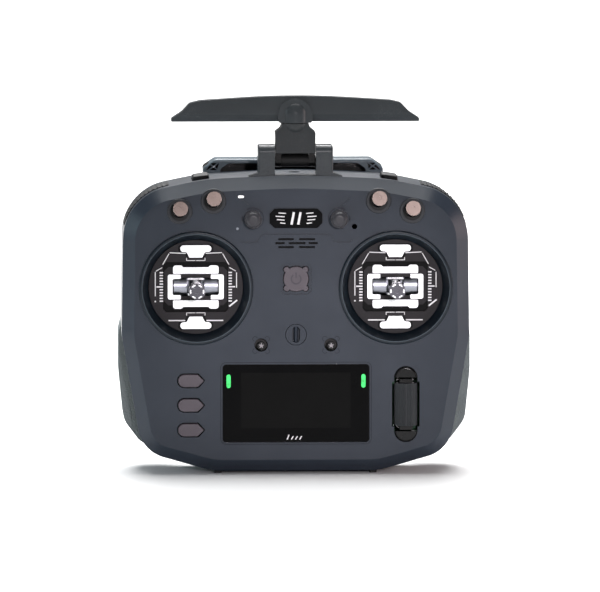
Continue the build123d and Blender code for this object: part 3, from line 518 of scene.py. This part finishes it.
def tee(grow):
    """The painted shadow field under a spring plate, a little wider than the plate."""
    return [(-4.0 - grow, 13.9), (4.0 + grow, 13.9), (5.2 + grow, 16.4), (7.6 + grow, 16.6),
            (8.3 + grow * 0.4, 17.6), (8.3 + grow * 0.4, 19.6),
            (7.2, 20.6 + grow * 0.6), (-7.2, 20.6 + grow * 0.6),
            (-8.3 - grow * 0.4, 19.6), (-8.3 - grow * 0.4, 17.6),
            (-7.6 - grow, 16.6), (-5.2 - grow, 16.4)]


def octagon(w, top, low, cut):
    return [(w, top - cut), (w - cut, top), (-w + cut, top), (-w, top - cut),
            (-w, low + cut), (-w + cut, low), (w - cut, low), (w, low + cut)]


SLOT_BAR_FRONT = -13.2
plate_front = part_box("gimbal_plate_left")[0][1] / MM
core_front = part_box("gimbal_cores")[0][1] / MM
for side in ("left", "right"):
    x, z, _ = middle("gimbal_plate_" + side)
    fine, bold = gimbal_print()
    inlay("scale_" + side, shift(fine, x, z), plate_front - 0.04, 0.05, "housing",
          white_ink)
    inlay("scale_bold_" + side, shift(bold, x, z), plate_front - 0.05, 0.06, "housing",
          white_ink)
    # Black painted shadow under and round each T plate.
    tee_shadows = [tee(0.2), [(px, -pz) for px, pz in tee(0.2)]]
    inlay("tee_field_" + side, shift(tee_shadows, x, z), plate_front - 0.03, 0.04, "housing",
          tee_shadow_ink)
    surround = between(octagon(15.1, 9.6, -8.9, 2.0), octagon(10.95, 4.45, -4.45, 0.4))
    inlay("inner_plate_" + side, shift(surround, x, z), core_front - 0.05, 0.06, "housing",
          finishes["plate_grey"])
    # A pale thin ring on each bezel's inner lip: a painted highlight for its chamfered edge.
    lip_x, lip_z, lip_y = middle("gimbal_bezel_" + side)
    inlay("lip_line_" + side, arc(lip_x, lip_z, 25.85, 0.3, count=96), lip_y - 0.03, 0.3, "housing",
          polished("lip_line_" + side, rgb(74, 84, 92), 0.3))
    bars = [rounded(x, z + v * 3.75, 7.4, 0.9, 0.3) for v in (-1, 1)]
    inlay("slot_bars_" + side, bars, SLOT_BAR_FRONT, 0.9, "cradle_" + side,
          finishes["gimbal_steel"])
    tip_x, tip_z, tip_y = middle("stick_end_" + side)
    inlay("crown_ring_" + side, arc(tip_x, tip_z, 3.1, 0.7, count=36), tip_y + 0.85, 0.1,
          "stick_" + side, finishes["gimbal_steel"])
print("gimbal faces drawn at Y", round(plate_front, 2))

# %% [markdown]
# ## Badge, power key, lamps and small rings
# The badge carries a generic mark: two leaning bars between rows of dashes. The power key has the common
# ring-and-bar sign and a thin pale ring on each lobe, a painted highlight for the rim of a dimple. A
# small white lamp and two pin holes sit beside the dials, and thin rings of painted groove shade circle
# the dials and the four-petal seats of the trims.

# %% Marks on the face
badge_x, badge_z, badge_y = middle("badge_plate")
marks = []
for s in (-1, 1):
    for i, (near, far) in enumerate(((5.0, 8.2), (5.6, 9.6), (5.6, 9.0), (5.2, 7.4))):
        z = badge_z + 2.4 - i * 1.6
        marks += stroke([(s * near, z), (s * far, z + 0.25)], 0.45)
    marks += stroke([(s * 1.6 - 0.5, badge_z - 2.6), (s * 1.6 + 0.5, badge_z + 2.6)], 1.1)
inlay("badge_marks", marks, badge_y - 0.03, 0.05, "housing", white_ink)

LOBE = 4.5
key_x, key_z, key_y = middle("power_button")
sign = arc(key_x, key_z, 2.3, 0.7, 125, 290, 28)
sign += stroke([(key_x, key_z + 0.9), (key_x, key_z + 3.0)], 0.7)
inlay("power_sign", sign, key_y - 0.02, 0.04, "power_button",
      polished("sign_ink", rgb(74, 70, 77), 0.5))
# A pale ring on each lobe: a painted highlight for the rim of a dimple.
dimple_highlights = []
for sx in (-1, 1):
    for sz in (-1, 1):
        dimple_highlights += arc(key_x + sx * LOBE, key_z + sz * LOBE, 1.05, 0.16, count=20)
inlay("power_dimple_highlights", dimple_highlights, key_y - 0.015, 0.03, "power_button",
      polished("dimple_highlight_ink", rgb(92, 88, 94), 0.4))

STATUS_LAMP, PIN_LAMP = (-26.3, 133.6), (-28.0, 118.3)
lamp_white = glowing("white_lamp", rgb(255, 255, 255), 1.0)
inlay("status_lamp", [rounded(*STATUS_LAMP, 2.8, 1.2, 0.59)], FACE + 0.1, 0.6, "housing",
      lamp_white)
inlay("pin_lamp", [rounded(*PIN_LAMP, 1.2, 1.2, 0.59)], FACE + 0.1, 0.6, "housing",
      polished("pin_lens", rgb(150, 155, 165), 0.2))

rings, petals, stars = [], [], []
for side in ("left", "right"):
    x, z, _ = middle("dial_knob_" + side)
    rings += arc(x, z, 5.1, 0.22, count=48)
    x, z, trim_y = middle("trim_cap_" + side)
    rings += arc(x, z, 3.25, 0.3, count=40)
    for sx in (-1, 1):
        for sz in (-1, 1):
            heading = 45 if sx * sz > 0 else -45
            heading += 0 if sx > 0 else 180
            petals += arc(x + sx * 2.9, z + sz * 2.9, 1.15, 0.2, heading - 115, 230, 20)
    star = [(x + r * sin(radians(36 * i)), z + r * cos(radians(36 * i)))
            for i, r in enumerate((1.45, 0.6) * 5)]
    inlay("trim_star_" + side, [star], trim_y - 0.02, 0.04, "trim_cap_" + side, faint_ink)
# Thin rings of painted groove shade round the dials and the trims' petal seats.
inlay("face_rings", rings, FACE + 0.48, 0.1, "housing", groove)
inlay("trim_petals", petals, FACE - 0.02, 0.05, "housing", groove)
print("face marks drawn")

# %% [markdown]
# ## The screen
# Behind the black window a slightly lighter lit area shows, and the window sits in a fine moulded frame,
# drawn as a thin line of painted groove shade. A small generic mark is printed below the lit area.

# %% Screen details
glass_x, glass_z, glass_y = middle("screen_glass")
inlay("lit_area", [rounded(glass_x - 0.1, glass_z + 1.4, 52.4, 26.6, 0.4)], glass_y - 0.015, 0.03,
      "housing", polished("lit_area", rgb(13, 13, 13), 0.12, Specular_IOR_Level=0.05))
frame_line = between(rounded(glass_x, glass_z, 72.4, 39.6, 2.6),
                     rounded(glass_x, glass_z, 72.0, 39.2, 2.4))
inlay("screen_line", frame_line, FACE - 0.015, 0.05, "housing", groove)
dashes = []
for i in range(4):
    dashes += stroke([(glass_x - 4.2 + i * 2.0, 17.0),
                      (glass_x - 3.4 + i * 2.0, 19.0 if i == 0 else 18.3)], 0.5)
inlay("screen_mark", dashes, glass_y - 0.03, 0.05, "housing", white_ink)
print("screen dressed, glass front at", round(glass_y, 2))

# %% [markdown]
# ## Floor, light and camera
# A product is lit by big soft sources over white paper: two wide lamps light the paper under and behind
# it, weak ones at the sides draw the bevels, one behind draws the top edges, and a narrow spot lifts
# the middle of the face. The camera is far away with a long lens, a little above the middle and a
# hair to the left.


# %% Floor, lamps and camera
PAPER = 9.0


def floor():
    """A wide sheet of white paper that the object stands on."""
    mesh = bpy.data.meshes.new("floor")
    bm = bmesh.new()
    corners = [(-PAPER, -PAPER), (PAPER, -PAPER), (PAPER, PAPER), (-PAPER, PAPER)]
    bm.faces.new([bm.verts.new((x, y, 0.0)) for x, y in corners])
    bm.to_mesh(mesh)
    thing = bpy.data.objects.new("floor", mesh)
    bpy.context.scene.collection.objects.link(thing)
    paper = Finish("white_paper", Specular_IOR_Level=0.2)
    cloud = paper.noise(400.0, 2.0)
    paper.feed(Base_Color=paper.blend(cloud, (0.93, 0.93, 0.93, 1), (0.95, 0.95, 0.95, 1)),
               Roughness=cloud * 0.1 + 0.7)
    mesh.materials.append(paper.material)
    thing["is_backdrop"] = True


def lamp(name, place, target, size, watts, colour=(1, 1, 1)):
    """A square soft light that looks at a target."""
    data = bpy.data.lights.new(name, "AREA")
    data.size = size
    data.energy = watts
    data.color = colour
    thing = bpy.data.objects.new(name, data)
    thing.location = place
    thing.rotation_euler = (Vector(target) - Vector(place)).to_track_quat("-Z", "Y").to_euler()
    bpy.context.scene.collection.objects.link(thing)


MIDDLE = Vector((0, 0, 0.09))
floor()
lamp("top_soft", (-0.1, 0.35, 1.3), MIDDLE, 1.0, 1.2, (0.7, 0.95, 1.0))
lamp("rim_back", (0.0, 1.1, 1.0), MIDDLE, 0.5, 8, (1.0, 0.98, 1.0))
lamp("front_soft", (-0.4, -2.2, 1.0), MIDDLE, 0.8, 1.5)
lamp("left_edge", (-1.1, 0.12, 0.4), MIDDLE, 0.5, 2.5, (0.72, 0.93, 1.0))
lamp("right_edge", (1.1, 0.0, 0.30), MIDDLE, 0.5, 3.5, (1.0, 0.80, 0.78))
lamp("floor_near", (0.0, 0.5, 1.7), (0, 0.7, 0), 1.4, 40)
lamp("floor_far", (0.0, 2.0, 2.0), (0, 1.9, 0), 1.6, 70)
SPOT_PLACE, SPOT_TARGET = Vector((0.25, -2.6, 0.5)), Vector((0.01, -0.02, 0.06))
SPOT_WATTS, SPOT_ANGLE = 150, radians(5.5)
snoot = bpy.data.lights.new("snoot", "SPOT")
snoot.energy = SPOT_WATTS
snoot.spot_size = SPOT_ANGLE
snoot.spot_blend = 1.0
snoot.shadow_soft_size = 0.05
snoot.color = (1.0, 0.93, 0.98)
snoot_thing = bpy.data.objects.new("snoot", snoot)
snoot_thing.location = SPOT_PLACE
aim = SPOT_TARGET - SPOT_PLACE
snoot_thing.rotation_euler = aim.to_track_quat("-Z", "Y").to_euler()
bpy.context.scene.collection.objects.link(snoot_thing)

ROOM_LIGHT = 0.2
world = bpy.data.worlds.new("studio")
world.use_nodes = True
world.node_tree.nodes["Background"].inputs["Color"].default_value = (1, 1, 1, 1)
world.node_tree.nodes["Background"].inputs["Strength"].default_value = ROOM_LIGHT
bpy.context.scene.world = world
bpy.context.scene.view_settings.view_transform = "Standard"

AZIMUTH, ELEVATION = radians(-2.0), radians(5.6)
DISTANCE, VIEW_WIDTH = 6.0, 0.287
FACE_CENTRE = Vector((1.9 * MM, -21 * MM, 85.9 * MM))
camera = bpy.data.objects.new("camera", bpy.data.cameras.new("camera"))
camera.data.sensor_width = 36.0
camera.data.lens = 36.0 * DISTANCE / VIEW_WIDTH
away = Vector((sin(AZIMUTH) * cos(ELEVATION), -cos(AZIMUTH) * cos(ELEVATION), sin(ELEVATION)))
camera.location = FACE_CENTRE + away * DISTANCE
camera.rotation_euler = (-away).to_track_quat("-Z", "Y").to_euler()
camera.data.clip_end = 20
bpy.context.scene.collection.objects.link(camera)
bpy.context.scene.camera = camera
print("camera at", [round(v, 3) for v in camera.location], "lens", round(camera.data.lens))

# %% Measure the finished scene
seen_box = [list(corner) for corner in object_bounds()]
print("visual box in mm:", [[round(v / MM, 1) for v in corner] for corner in seen_box])
